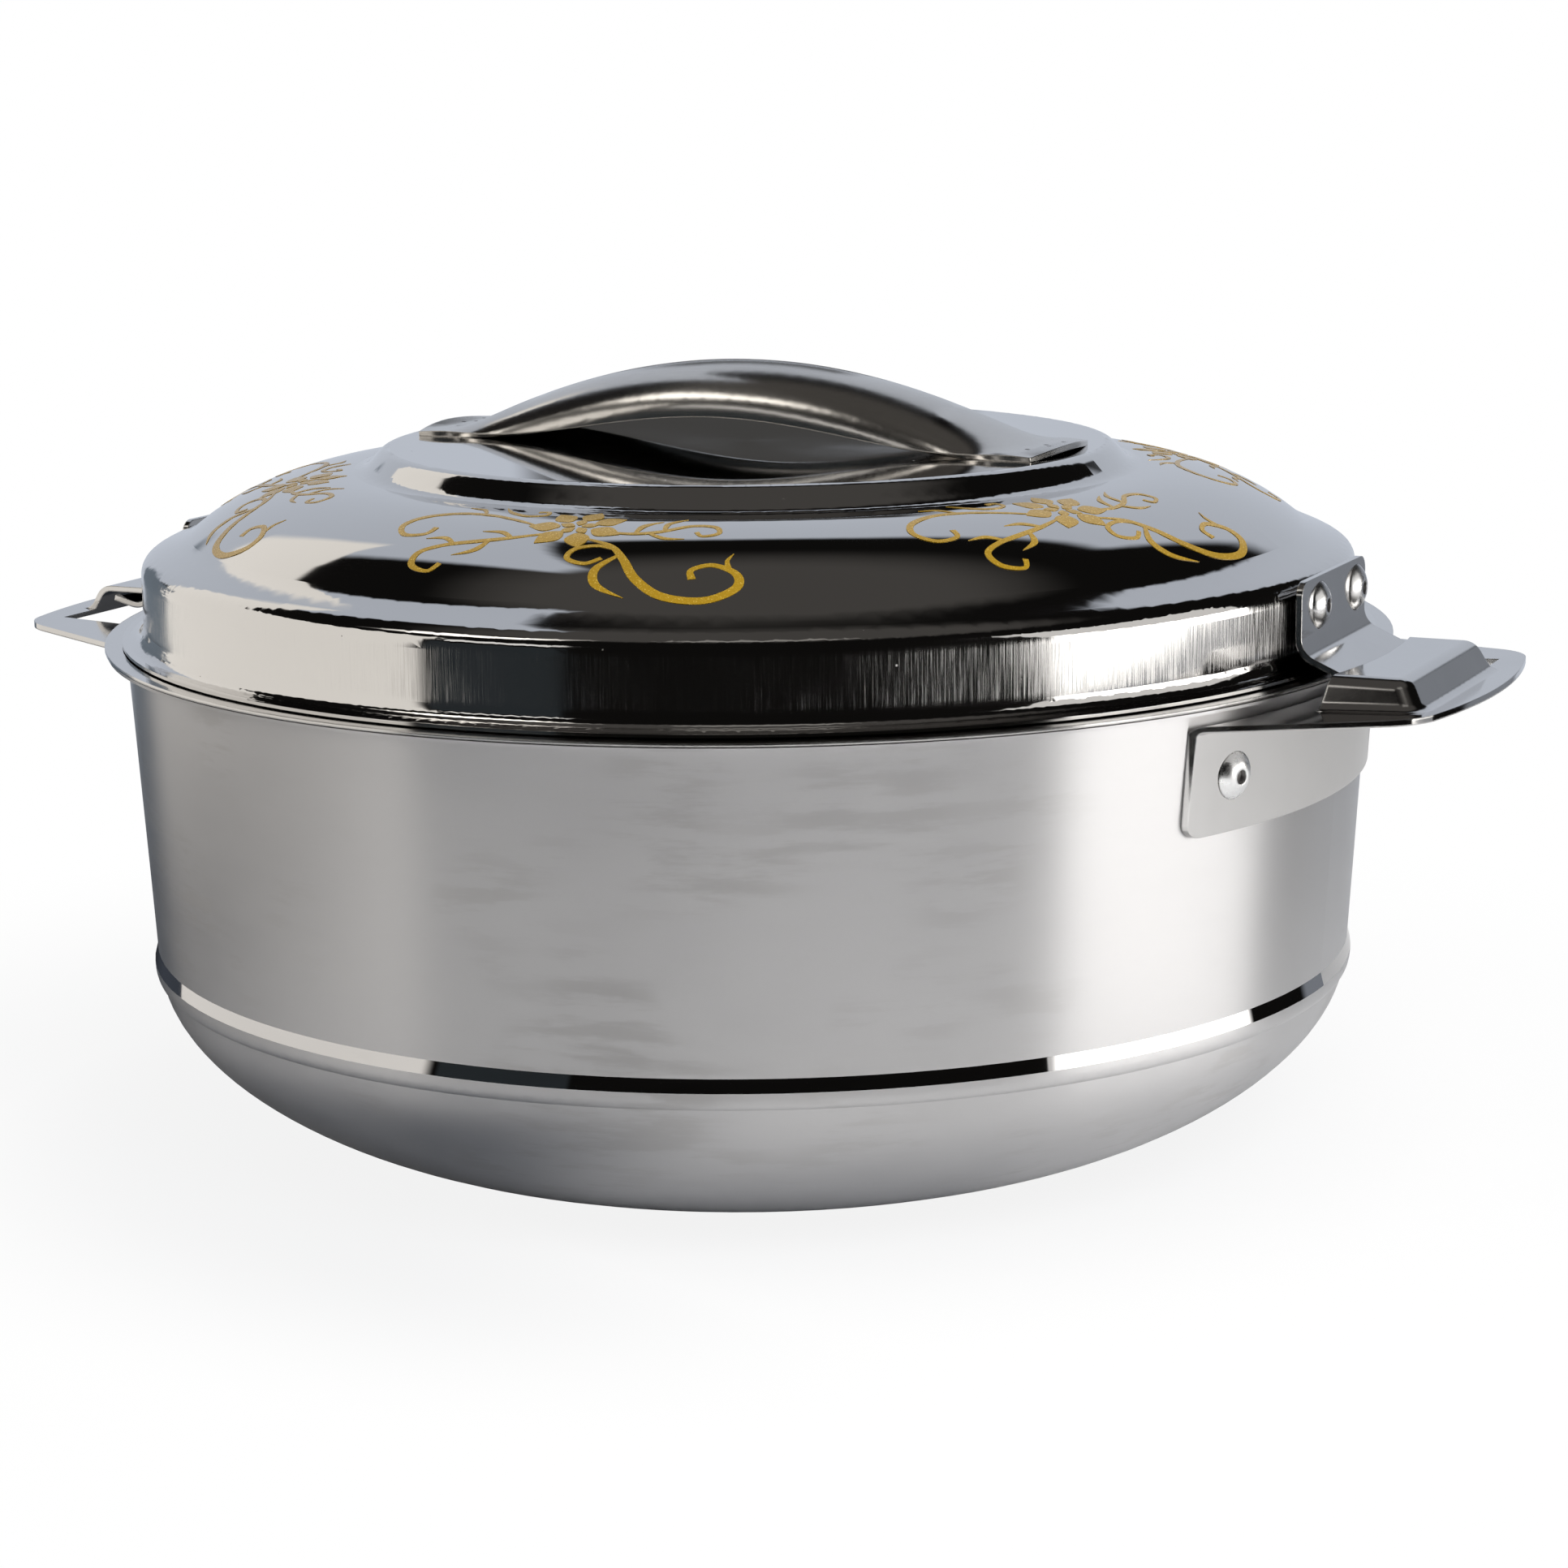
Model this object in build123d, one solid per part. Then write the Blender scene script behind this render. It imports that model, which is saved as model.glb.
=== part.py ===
from build123d import *
import math
import os

# Driving dimensions, in millimetres. Z = 0 is the table, +Z is up, and +X runs through the right handle.
brim_radius = 130.0
brim_height = 100.0
lid_height = 36.9
pan_sheet = 0.6
strap_sheet = 1.2
running_gap = 0.3
cut_overrun = 60.0

# Stacked rims: the shell's flange, the bowl's brim on it and the lid's brim above
rim_split = 0.3
brim_overhang = 4.3
flange_setback = 0.45
flange_seat_width = 1.3
lid_brim_setback = 3.5
lid_wall_setback = 7.8
wall_top_radius = brim_radius - brim_overhang
flange_radius = brim_radius - flange_setback
flange_seat_radius = wall_top_radius + flange_seat_width
flange_base = brim_height + rim_split
bowl_brim_base = flange_base + pan_sheet
lid_base = bowl_brim_base + pan_sheet + running_gap
lid_brim_top = lid_base + pan_sheet
lid_top = lid_base + lid_height
lid_brim_radius = brim_radius - lid_brim_setback
lid_wall_radius = brim_radius - lid_wall_setback

# Outer shell, as shares of the wall's top radius and of the brim height
recess_depth = 1.5
recess_edge_shares = (0.485, 0.507)
dish_shares = ((0.555, 0.0), (0.672, 0.0), (0.938, 0.142), (0.967, 0.337))
bead_shares = ((0.967, 0.337), (0.973, 0.339), (0.9775, 0.351), (0.9768, 0.371))
wall_foot_shares = (0.9714, 0.3965)

# Inner bowl
bowl_floor_height = 14.0
foam_wall = 10.4
bowl_taper = 6.2
bowl_corner_radius = 30.0
bowl_mouth_bend = 3.0
bowl_mouth_radius = wall_top_radius - pan_sheet - foam_wall
bowl_floor_radius = bowl_mouth_radius - bowl_taper

# Foam filling plug in the base
plug_radius = 6.0
plug_head_overlap = 3.0
plug_head_thickness = 0.9
plug_length = 5.6
plug_head_radius = plug_radius + plug_head_overlap

# Lid shell, as shares of the lid wall's radius and of the lid height
plateau_share = 0.59
step_shares = ((plateau_share, 1.0), (0.616, 1.0), (0.618, 0.881), (0.651, 0.881))
dome_shares = ((0.651, 0.881), (0.753, 0.873), (0.845, 0.765), (0.92, 0.56))
valley_shares = ((0.92, 0.56), (0.93, 0.533), (0.952, 0.503), (0.966, 0.484))
shoulder_shares = ((0.966, 0.484), (0.988, 0.454), (1.0, 0.437), (1.0, 0.355))
lid_cove = 2.9

# Lid liner
liner_play = 4.2
liner_taper = 4.5
liner_depth = 6.5
liner_lip_height = 5.7
liner_bend = 1.6
liner_lip_bend = 1.0
liner_lip_radius = lid_wall_radius - pan_sheet
liner_lip_top = lid_base + liner_lip_height
liner_step_radius = bowl_mouth_radius - liner_play
liner_floor_radius = liner_step_radius - liner_taper
liner_floor_height = lid_base - liner_depth

# Strap handle on the lid, with its stations as shares of its half span, of its two rises and of its edge bend
strap_half_width = 15.9
strap_end_inset = 2.85
strap_foot_length = 7.5
strap_ridge_rise = 15.1
strap_lip_rise = 6.2
strap_edge_angle = 88.0
strap_end_radius = lid_wall_radius * plateau_share - strap_end_inset
strap_span = strap_end_radius - strap_foot_length
strap_station_shares = (0.0, 0.15, 0.3, 0.45, 0.6, 0.75, 0.87, 0.96, 1.03, 1.2)
strap_ridge_shares = (1.0, 0.978, 0.91, 0.798, 0.64, 0.437, 0.24, 0.08, 0.01, 0.0)
strap_lip_shares = (1.0, 0.94, 0.78, 0.55, 0.3, 0.1, 0.01, 0.0, 0.0, 0.0)
strap_bend_shares = (1.0, 1.0, 0.98, 0.94, 0.86, 0.7, 0.45, 0.15, 0.02, 0.0)
flat_control_share = 1 / 3
crest_control_factor = 4 / 3

# Blind rivets
rivet_radius = 2.4
rivet_head_radius = 4.55
rivet_head_height = 1.7
rivet_crown_radius = 1.9
rivet_bore_radius = 1.35
rivet_bulb_radius = 3.2
rivet_bulb_length = 4.1
mandrel_recess = 0.95
mandrel_head_radius = 2.25
mandrel_head_length = 1.7

# Lock brackets on the lid
bracket_half_width = 20.5
bracket_height = 17.2
bracket_elbow_height = 4.2
bracket_bend = 4.0
bracket_corner_radius = 3.0
bracket_rivet_edge = 1.1
bracket_rivet_offset = 11.8
bracket_rivet_shift = 2.8
tongue_brim_gap = 5.6
tongue_dip = 1.2
tongue_length = 5.6
tongue_bend = 3.9
bracket_face = lid_wall_radius + strap_sheet
bracket_top = lid_base + bracket_height
bracket_elbow = lid_base + bracket_elbow_height
bracket_rivet_height = bracket_top - bracket_rivet_edge - rivet_head_radius
tongue_low_reach = brim_radius + tongue_brim_gap
tongue_low_top = lid_base - tongue_dip
tongue_tip_reach = tongue_low_reach + tongue_length
tongue_tip_top = lid_base + running_gap

# Side handles: mount plate, wing and lock pocket
mount_depth = 20.9
mount_corner_radius = 3.0
mount_rivet_inset = 11.0
wing_drop = 2.8
wing_half_width = 54.5
wing_taper_angle = 22.4
wing_margin = 4.5
wing_corner_radius = 12.0
wing_bend_radius = 2.2
wing_rise_angle = 2.5
wing_root_height = brim_height - wing_drop
mount_low = wing_root_height - mount_depth
mount_rivet_height = wing_root_height - mount_depth / 2
mount_rivet_angle = math.degrees(math.asin((wing_half_width - mount_rivet_inset) / wall_top_radius))
wing_shoulder = math.sqrt(wall_top_radius**2 - wing_half_width**2)

pocket_brim_gap = 4.5
pocket_side_play = 3.0
pocket_stop_play = 7.5
pocket_roof_setback = 2.3
pocket_entry = 9.4
pocket_round = 4.0
pocket_inner_round = 2.8
pocket_blend = 3.0
pocket_slope_angle = 32.0
pocket_wall = strap_sheet / math.cos(math.radians(pocket_slope_angle))
pocket_base = wing_root_height - wing_bend_radius
pocket_roof_top = tongue_tip_top + running_gap + strap_sheet
pocket_lean = (tongue_tip_top - pocket_base) * math.tan(math.radians(pocket_slope_angle))
pocket_inner_radius = brim_radius + pocket_brim_gap
pocket_outer_reach = (
    math.hypot(tongue_tip_reach, bracket_half_width) + pocket_side_play + pocket_wall + pocket_lean
)
pocket_stop = bracket_half_width + pocket_stop_play + pocket_wall + pocket_lean
pocket_roof_end = bracket_half_width - pocket_roof_setback
pocket_slot_end = bracket_half_width + pocket_entry
wing_reach = pocket_outer_reach + wing_margin


def pot_point(shares):
    """A point of the pot's profile from shares of the wall's top radius and the brim height."""
    return (wall_top_radius * shares[0], brim_height * shares[1])


def lid_point(shares):
    """A point of the lid's profile from shares of the lid wall's radius and the lid height."""
    return (lid_wall_radius * shares[0], lid_base + lid_height * shares[1])


def turned(profile, arc=360.0):
    """Turn a flat profile, drawn as radius and height, about the pot's axis."""
    return revolve(Plane.XZ * profile, Axis.Z, revolution_arc=arc)


def sheet_face(outline, thickness, side):
    """The section of a sheet that has an outline of lines and arcs on one face."""
    return make_face(offset(outline, amount=thickness, side=side, closed=True).edges())


def run_edges(runs):
    """Edges of a profile: a line for a run of two points, a smooth curve for a longer one."""
    edges = []
    for run in runs:
        edge = Line(*run) if len(run) == 2 else Bezier(*run)
        edges += edge.edges()
    return edges


def shifted_runs(runs, distance):
    """The runs moved to their left, so that each leg between their points shifts by the distance."""
    points = [Vector(*run[0]) for run in runs[:1]]
    for run in runs:
        points += [Vector(*point) for point in run[1:]]
    normals = []
    for first, second in zip(points[:-1], points[1:]):
        leg = (second - first).normalized()
        normals.append(Vector(-leg.Y, leg.X))
    normals = normals[:1] + normals + normals[-1:]
    moved = []
    for point, before, after in zip(points, normals[:-1], normals[1:]):
        bisector = before + after
        moved.append(point + bisector * (2 * distance / bisector.dot(bisector)))
    result = []
    start = 0
    for run in runs:
        end = start + len(run) - 1
        result.append(moved[start : end + 1])
        start = end
    return result


def curved_sheet_face(runs, thickness):
    """The section of a sheet that has smooth runs on one face, thickened to their left."""
    far_runs = shifted_runs(runs, thickness)
    first_end = Line(runs[0][0], far_runs[0][0])
    last_end = Line(runs[-1][-1], far_runs[-1][-1])
    return make_face(run_edges(runs) + run_edges(far_runs) + first_end.edges() + last_end.edges())


def filled_face(edges, start, end, *closing_points):
    """The area between a row of edges and the points that lead back from its end to its start."""
    return make_face(edges + Polyline(end, *closing_points, start).edges())


def from_table(radius, height):
    """A cylinder about the pot's axis, from the table up."""
    return Cylinder(radius, height, align=(Align.CENTER, Align.CENTER, Align.MIN))


def half_turn(shape):
    """The copy of a shape on the opposite side of the pot."""
    return Rot(0, 0, 180) * shape


# Profiles
def shell_runs():
    """Outer face of the shell, from the rim of the plug hole to the edge of its flange."""
    dish = [pot_point(shares) for shares in dish_shares]
    bead = [pot_point(shares) for shares in bead_shares]
    recess_radius, standing_radius = [wall_top_radius * share for share in recess_edge_shares]
    base = [(plug_radius, recess_depth), (recess_radius, recess_depth), (standing_radius, 0), dish[0]]
    wall_foot = pot_point(wall_foot_shares)
    wall_top = (wall_top_radius, flange_base)
    facet = [bead[-1], wall_foot]
    wall = [wall_foot, wall_top]
    flange = [wall_top, (flange_seat_radius, flange_base), (flange_radius, brim_height)]
    return [base[:2], base[1:3], base[2:], dish, bead, facet, wall, flange[:2], flange[1:]]


def bowl_outline():
    """Outer face of the inner bowl, from the middle of its floor to the edge of its brim."""
    return FilletPolyline(
        (0, bowl_floor_height),
        (bowl_floor_radius, bowl_floor_height),
        (bowl_mouth_radius, bowl_brim_base),
        (brim_radius, bowl_brim_base),
        radius=(bowl_corner_radius, bowl_mouth_bend),
    ).wire()


def lid_runs():
    """Outer face of the lid, from the edge of its brim to the middle of its plateau."""
    curves = [step_shares, dome_shares, valley_shares, shoulder_shares]
    curves = [[lid_point(shares) for shares in reversed(curve)] for curve in reversed(curves)]
    corner = (lid_wall_radius, lid_brim_top)
    brim_end = (lid_wall_radius + lid_cove, lid_brim_top)
    wall_end = (lid_wall_radius, lid_brim_top + lid_cove)
    brim = [(lid_brim_radius, lid_brim_top), brim_end]
    cove = [brim_end, corner, wall_end]
    wall = [wall_end, curves[0][0]]
    plateau = [curves[-1][-1], (0, lid_top)]
    return [brim, cove, wall] + curves + [plateau]


def liner_outline():
    """Under face of the lid liner, from the middle of its floor to the top of its lip."""
    return FilletPolyline(
        (0, liner_floor_height),
        (liner_floor_radius, liner_floor_height),
        (liner_step_radius, lid_base),
        (liner_lip_radius, lid_base),
        (liner_lip_radius, liner_lip_top),
        radius=(liner_bend, liner_bend, liner_lip_bend),
    ).wire()


def wall_radius_at(height):
    """Outer radius of the shell's wall at a height."""
    low_radius, low_height = pot_point(wall_foot_shares)
    height_share = (height - low_height) / (flange_base - low_height)
    return low_radius + (wall_top_radius - low_radius) * height_share


# Rivets
def rivet_solid(grip):
    """A blind rivet along Z: head above Z = 0, shank through the grip, bulb below it."""
    head = Polyline((rivet_bore_radius, rivet_head_height), (rivet_crown_radius, rivet_head_height))
    dome = RadiusArc((rivet_crown_radius, rivet_head_height), (rivet_head_radius, 0), rivet_head_radius)
    bulb_end = -grip - rivet_bulb_length
    body = Polyline(
        (rivet_head_radius, 0),
        (rivet_radius, 0),
        (rivet_radius, -grip),
        (rivet_bulb_radius, -grip),
        (rivet_bulb_radius, bulb_end),
        (rivet_bore_radius, bulb_end),
        (rivet_bore_radius, rivet_head_height),
    )
    return turned(make_face(head.edges() + dome.edges() + body.edges()))


def mandrel_solid(grip):
    """The broken pull stem left in a blind rivet, with its head below the bulb."""
    bulb_end = -grip - rivet_bulb_length
    outline = Polyline(
        (0, rivet_head_height - mandrel_recess),
        (rivet_bore_radius, rivet_head_height - mandrel_recess),
        (rivet_bore_radius, bulb_end),
        (mandrel_head_radius, bulb_end),
        (mandrel_head_radius, bulb_end - mandrel_head_length),
        (0, bulb_end - mandrel_head_length),
        close=True,
    )
    return turned(make_face(outline.edges()))


def shank_hole(grip):
    """The hole that a rivet's shank needs."""
    depth = grip + rivet_head_height
    return Cylinder(rivet_radius, depth, align=(Align.CENTER, Align.CENTER, Align.MAX))


def mount_rivet_places():
    """Seats of the two rivets on the right handle's mount plate, square to the tapered wall."""
    taper = math.degrees(math.atan2(wall_radius_at(brim_height) - wall_radius_at(0), brim_height))
    seat_radius = wall_radius_at(mount_rivet_height) + strap_sheet / math.cos(math.radians(taper))
    places = []
    for angle in (-mount_rivet_angle, mount_rivet_angle):
        places.append(Rot(0, 0, angle) * Pos(seat_radius, 0, mount_rivet_height) * Rot(0, 90 + taper, 0))
    return places


def bracket_rivet_places():
    """Seats of the two rivets on the right lock bracket."""
    places = []
    for offset_y in (-bracket_rivet_offset, bracket_rivet_offset):
        places.append(Pos(bracket_face, bracket_rivet_shift + offset_y, bracket_rivet_height) * Rot(0, 90, 0))
    return places


mount_grip = strap_sheet + pan_sheet + running_gap
bracket_rivet_far = bracket_rivet_shift + bracket_rivet_offset
bracket_grip = strap_sheet + pan_sheet + bracket_rivet_far**2 / lid_wall_radius


def group(solid, places):
    """One solid set at each place, kept as separate solids."""
    return Compound(children=[place * solid for place in places])


# Pot
def drill(shape, hole, places):
    """Cut a hole at each place on the right side and at its opposite on the left side."""
    for place in places:
        shape = shape - place * hole
        shape = shape - half_turn(place * hole)
    return shape


def outer_shell():
    shell = turned(curved_sheet_face(shell_runs(), pan_sheet))
    return drill(shell, shank_hole(mount_grip), mount_rivet_places())


def inner_bowl():
    return turned(sheet_face(bowl_outline(), pan_sheet, Side.LEFT))


def fill_plug():
    head_low = recess_depth - plug_head_thickness
    outline = Polyline(
        (0, head_low),
        (plug_head_radius, head_low),
        (plug_head_radius, recess_depth),
        (plug_radius, recess_depth),
        (plug_radius, recess_depth + plug_length),
        (0, recess_depth + plug_length),
        close=True,
    )
    return turned(make_face(outline.edges()))


def body_insulation(shell, plug, rivets):
    """Foam that fills the space between the shell and the bowl."""
    runs = shell_runs()
    edge_top = (flange_radius, bowl_brim_base)
    axis_points = [(0, bowl_brim_base), (0, recess_depth)]
    space = turned(filled_face(run_edges(runs), runs[0][0], runs[-1][-1], edge_top, *axis_points))
    bowl_line = bowl_outline()
    bowl_start, bowl_end = bowl_line.position_at(0), bowl_line.position_at(1)
    above_points = [(brim_radius, lid_top), (0, lid_top)]
    bowl_space = turned(filled_face(bowl_line.edges(), bowl_start, bowl_end, *above_points))
    foam = space - shell - bowl_space - plug
    for piece in rivets:
        foam = foam - piece
    return largest(foam)


def largest(shape):
    """The biggest solid of a cut shape."""
    return shape.solids().sort_by(SortBy.VOLUME)[-1]


# Side handle
def wing_plan():
    """Outline of the right handle seen from above: tapered sides and an outer edge that follows the pot."""
    root = wing_shoulder - cut_overrun
    far = wing_reach + cut_overrun
    far_half_width = wing_half_width - (far - wing_shoulder) * math.tan(math.radians(wing_taper_angle))
    sides = Polyline(
        (root, -wing_half_width),
        (wing_shoulder, -wing_half_width),
        (far, -far_half_width),
        (far, far_half_width),
        (wing_shoulder, wing_half_width),
        (root, wing_half_width),
        close=True,
    )
    plan = make_face(sides.edges()) & Circle(wing_reach)
    corners = [corner for corner in plan.vertices() if corner.X > brim_radius]
    return fillet(corners, wing_corner_radius)


def mount_window():
    """Outline of the mount plate seen from the side, tall enough to let the whole wing through."""
    high = brim_height + cut_overrun
    outline = FilletPolyline(
        (-wing_half_width, high),
        (-wing_half_width, mount_low),
        (wing_half_width, mount_low),
        (wing_half_width, high),
        radius=mount_corner_radius,
    )
    closing = Line((wing_half_width, high), (-wing_half_width, high))
    return make_face(outline.edges() + closing.edges())


def wing_height_at(radius):
    """Height of the wing's top face, which rises away from the wall."""
    root_radius = wall_radius_at(wing_root_height)
    return wing_root_height + (radius - root_radius) * math.tan(math.radians(wing_rise_angle))


def wing_sheet():
    """The bent sheet of the right handle, before the pocket is pressed into it."""
    far_radius = wing_reach + cut_overrun
    low_height = mount_low - mount_corner_radius
    bent = FilletPolyline(
        (wall_radius_at(low_height), low_height),
        (wall_radius_at(wing_root_height), wing_root_height),
        (far_radius, wing_height_at(far_radius)),
        radius=wing_bend_radius,
    ).wire()
    quarter = turned(sheet_face(bent, strap_sheet, Side.RIGHT), 90)
    blank = Rot(0, 0, -45) * quarter
    blank = blank & extrude(wing_plan(), lid_top)
    return blank & extrude(Plane.YZ * mount_window(), wing_reach + cut_overrun)


def pocket_block(wall, roof_top, rounding):
    """A sloped block for the pocket's outside or, set in by the wall, its hollow."""
    low_x = wing_shoulder
    high_x = pocket_outer_reach - wall
    low_y = -pocket_stop + wall
    high_y = wing_half_width + cut_overrun
    plan = Pos((low_x + high_x) / 2, (low_y + high_y) / 2) * Rectangle(high_x - low_x, high_y - low_y)
    block = extrude(Pos(0, 0, pocket_base) * plan, roof_top - pocket_base, taper=pocket_slope_angle)
    roof = block.faces().sort_by(Axis.Z)[-1]
    stop_corners = [edge for edge in block.edges() if is_stop_corner(edge)]
    return fillet(roof.edges() + stop_corners, rounding)


def is_stop_corner(edge):
    """True for the sloped edge where the pocket's outer wall meets its stop wall."""
    middle = edge.position_at(0.5)
    low, high = edge.position_at(0), edge.position_at(1)
    return abs(low.Z - high.Z) > strap_sheet and middle.X > brim_radius and middle.Y < 0


def beyond(limit):
    """Everything past a place along Y, for cutting the pocket's entry end."""
    span = (wing_reach + cut_overrun) * 2
    return Pos(0, limit, 0) * Box(span, span, span, align=(Align.CENTER, Align.MIN, Align.CENTER))


def under_wing():
    """Everything below the wing's under face, where the pocket's block must not reach."""
    drop = strap_sheet / math.cos(math.radians(wing_rise_angle))
    far_radius = wing_reach + cut_overrun
    axis_low = wing_height_at(0) - drop
    far_low = wing_height_at(far_radius) - drop
    outline = Polyline((0, 0), (far_radius, 0), (far_radius, far_low), (0, axis_low), close=True)
    return turned(make_face(outline.edges()))


def is_pocket_foot(edge):
    """True for an edge where the pocket's two sloped walls rise out of the wing."""
    middle = edge.position_at(0.5)
    radius = math.hypot(middle.X, middle.Y)
    on_wing = abs(middle.Z - wing_height_at(radius)) < running_gap
    walled = radius > pocket_inner_radius + strap_sheet and middle.X < pocket_outer_reach
    return on_wing and walled and -pocket_stop < middle.Y < pocket_roof_end - strap_sheet


def right_handle():
    """A wing bent off its mount plate, with a raised pocket open towards the pot and at its +Y end."""
    inside_brim = from_table(pocket_inner_radius, lid_top)
    outside = pocket_block(0, pocket_roof_top, pocket_round) - inside_brim - beyond(pocket_roof_end)
    handle = wing_sheet() + (outside - under_wing())
    handle = fillet([edge for edge in handle.edges() if is_pocket_foot(edge)], pocket_blend)
    hollow_roof = pocket_roof_top - strap_sheet
    hollow = pocket_block(pocket_wall, hollow_roof, pocket_inner_round)
    handle = handle - (hollow - inside_brim - beyond(pocket_slot_end))
    for place in mount_rivet_places():
        handle = handle - place * shank_hole(mount_grip)
    return largest(handle)


# Lid
def lid_shell():
    shell = turned(curved_sheet_face(lid_runs(), pan_sheet))
    return drill(shell, shank_hole(bracket_grip + pan_sheet), bracket_rivet_places())


def lid_liner():
    return turned(sheet_face(liner_outline(), pan_sheet, Side.LEFT))


def lid_insulation(shell, liner, rivets):
    """Foam that fills the lid above its liner."""
    runs = lid_runs()
    below = [(0, liner_floor_height), (lid_brim_radius, liner_floor_height)]
    space = turned(filled_face(run_edges(runs), runs[0][0], runs[-1][-1], *below))
    liner_line = liner_outline()
    under_points = [(brim_radius, liner_lip_top), (brim_radius, 0), (0, 0)]
    liner_start, liner_end = liner_line.position_at(0), liner_line.position_at(1)
    under_liner = turned(filled_face(liner_line.edges(), liner_start, liner_end, *under_points))
    foam = space - shell - liner - under_liner
    for piece in rivets:
        foam = foam - piece
    return largest(foam)


def strap_curve(half_width, end_height, crest_height, bend_share):
    """One face of the strap's section, straight when flat and close to a half ellipse when fully bent."""
    control_x = half_width * (flat_control_share + (1 - flat_control_share) * bend_share)
    control_height = end_height + crest_control_factor * (crest_height - end_height)
    return Bezier(
        (-half_width, end_height),
        (-control_x, control_height),
        (control_x, control_height),
        (half_width, end_height),
    )


def strap_section(station_share, ridge_share, lip_share, bend_share, sign):
    """The strap's section at one station: an arched sheet with its two edges bent down."""
    edge_angle = math.radians(strap_edge_angle * bend_share)
    inner_half_width = strap_half_width - strap_sheet * math.sin(edge_angle)
    lip = lid_top + strap_lip_rise * lip_share
    edge_top = lip + strap_sheet * math.cos(edge_angle)
    under_ridge = lid_top + strap_ridge_rise * ridge_share
    upper = strap_curve(strap_half_width, edge_top, under_ridge + strap_sheet, bend_share)
    lower = strap_curve(inner_half_width, lip, under_ridge, bend_share)
    left = Line((-inner_half_width, lip), (-strap_half_width, edge_top))
    right = Line((inner_half_width, lip), (strap_half_width, edge_top))
    face = make_face(upper.edges() + right.edges() + lower.edges() + left.edges())
    return Pos(sign * strap_span * station_share, 0, 0) * (Plane.YZ * face)


def lid_handle():
    stations = list(zip(strap_station_shares, strap_ridge_shares, strap_lip_shares, strap_bend_shares))
    sections = [strap_section(*station, -1) for station in reversed(stations[1:])]
    sections += [strap_section(*station, 1) for station in stations]
    strap = loft(sections) & from_table(strap_end_radius, lid_top + cut_overrun)
    return strap - from_table(brim_radius, lid_top)


def right_lock_bracket():
    profile = FilletPolyline(
        (bracket_face, bracket_top),
        (bracket_face, bracket_elbow),
        (tongue_low_reach, tongue_low_top),
        (tongue_tip_reach, tongue_tip_top),
        radius=(bracket_bend, tongue_bend),
    ).wire()
    section = Plane.XZ * sheet_face(profile, strap_sheet, Side.RIGHT)
    bracket = extrude(section, bracket_half_width, both=True)
    top_corners = bracket.edges().filter_by(Axis.X).group_by(Axis.Z)[-1]
    bracket = fillet(top_corners, bracket_corner_radius)
    for place in bracket_rivet_places():
        bracket = bracket - place * shank_hole(bracket_grip)
    return bracket


def both_sides(*shapes):
    """The shapes and their copies on the opposite side."""
    return list(shapes) + [half_turn(shape) for shape in shapes]


def build():
    """Make every node, by name."""
    mount_rivets = group(rivet_solid(mount_grip), mount_rivet_places())
    mount_mandrels = group(mandrel_solid(mount_grip), mount_rivet_places())
    bracket_rivets = group(rivet_solid(bracket_grip), bracket_rivet_places())
    bracket_mandrels = group(mandrel_solid(bracket_grip), bracket_rivet_places())
    mount_fasteners = both_sides(mount_rivets, mount_mandrels)
    bracket_fasteners = both_sides(bracket_rivets, bracket_mandrels)
    shell = outer_shell()
    bowl = inner_bowl()
    plug = fill_plug()
    handle = right_handle()
    lid = lid_shell()
    liner = lid_liner()
    bracket = right_lock_bracket()
    return {
        "outer_shell": shell,
        "inner_bowl": bowl,
        "fill_plug": plug,
        "body_insulation": body_insulation(shell, plug, mount_fasteners),
        "right_handle": handle,
        "left_handle": half_turn(handle),
        "right_handle_rivets": mount_rivets,
        "left_handle_rivets": half_turn(mount_rivets),
        "right_handle_mandrels": mount_mandrels,
        "left_handle_mandrels": half_turn(mount_mandrels),
        "lid_shell": lid,
        "lid_liner": liner,
        "lid_insulation": lid_insulation(lid, liner, bracket_fasteners),
        "lid_handle": lid_handle(),
        "right_lock_bracket": bracket,
        "left_lock_bracket": half_turn(bracket),
        "right_bracket_rivets": bracket_rivets,
        "left_bracket_rivets": half_turn(bracket_rivets),
        "right_bracket_mandrels": bracket_mandrels,
        "left_bracket_mandrels": half_turn(bracket_mandrels),
    }


os.makedirs("parts", exist_ok=True)
for name, shape in build().items():
    export_step(shape, f"parts/{name}.step")
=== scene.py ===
import math

import bmesh
import bpy
from mathutils import Matrix, Vector


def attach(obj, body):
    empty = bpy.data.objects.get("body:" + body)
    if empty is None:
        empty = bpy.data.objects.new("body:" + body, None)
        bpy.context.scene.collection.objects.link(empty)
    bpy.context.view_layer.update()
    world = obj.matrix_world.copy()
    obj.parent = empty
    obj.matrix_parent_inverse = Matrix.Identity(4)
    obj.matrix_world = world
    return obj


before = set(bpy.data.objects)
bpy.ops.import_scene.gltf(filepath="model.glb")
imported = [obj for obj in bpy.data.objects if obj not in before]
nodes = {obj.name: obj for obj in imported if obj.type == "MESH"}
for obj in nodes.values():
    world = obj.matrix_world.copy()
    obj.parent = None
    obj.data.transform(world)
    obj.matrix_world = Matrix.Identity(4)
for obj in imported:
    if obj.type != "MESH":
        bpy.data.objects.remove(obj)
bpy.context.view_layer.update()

# Sizes of the object that the materials and the ornaments follow, in metres
mm = 0.001
brim_height = 100 * mm
lid_base = 101.8 * mm
lid_height = 36.9 * mm
lid_wall_radius = 122.2 * mm
lid_wall_low = 105.5 * mm
lid_wall_high = 115.5 * mm
facet_low = 37.1 * mm
facet_high = 39.65 * mm
foot_radius = 70 * mm
strap_foot_reach = 64.5 * mm
weld_radius = 0.7 * mm
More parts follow.
